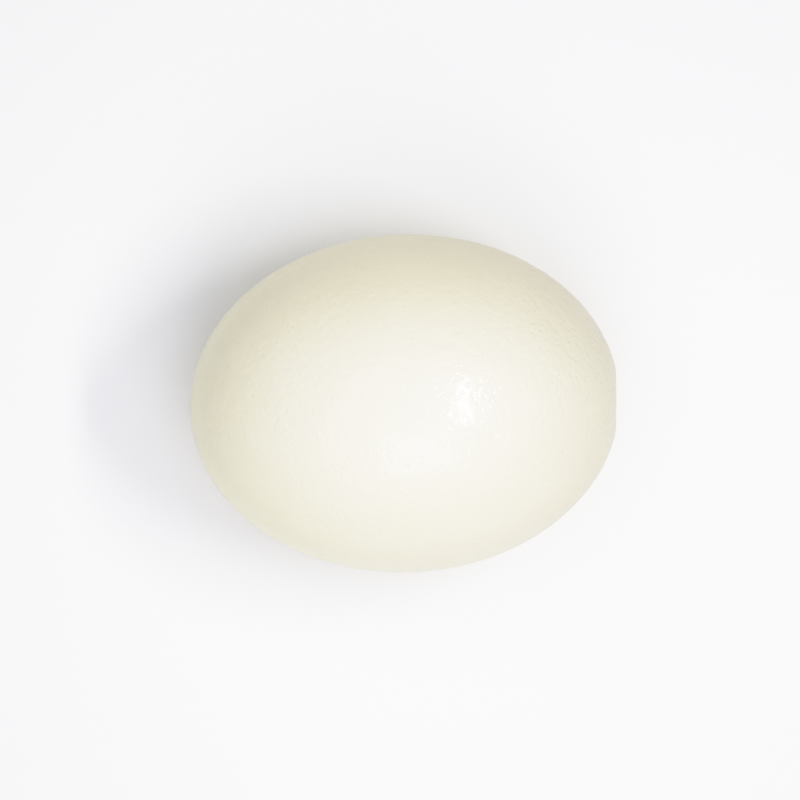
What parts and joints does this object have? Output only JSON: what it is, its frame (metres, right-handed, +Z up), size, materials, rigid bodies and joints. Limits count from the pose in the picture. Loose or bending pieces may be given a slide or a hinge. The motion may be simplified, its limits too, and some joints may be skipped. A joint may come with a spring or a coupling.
{
  "type": "ostrich egg",
  "caption": "Whole ostrich egg lying on its side: an almost elliptical ivory shell with a small resting spot underneath and a small flat on one end.",
  "frame": {"origin": "on the resting plane, under the middle of the egg's bounding box", "axes": "+X along the egg's long axis towards the end with the flat, +Y across its breadth, +Z up as it lies on its side"},
  "size_m": [0.154, 0.122, 0.1214],
  "materials": {
    "eggshell": "satin"
  },
  "bodies": {
    "root": {"egg": "eggshell"}
  },
  "joints": []
}
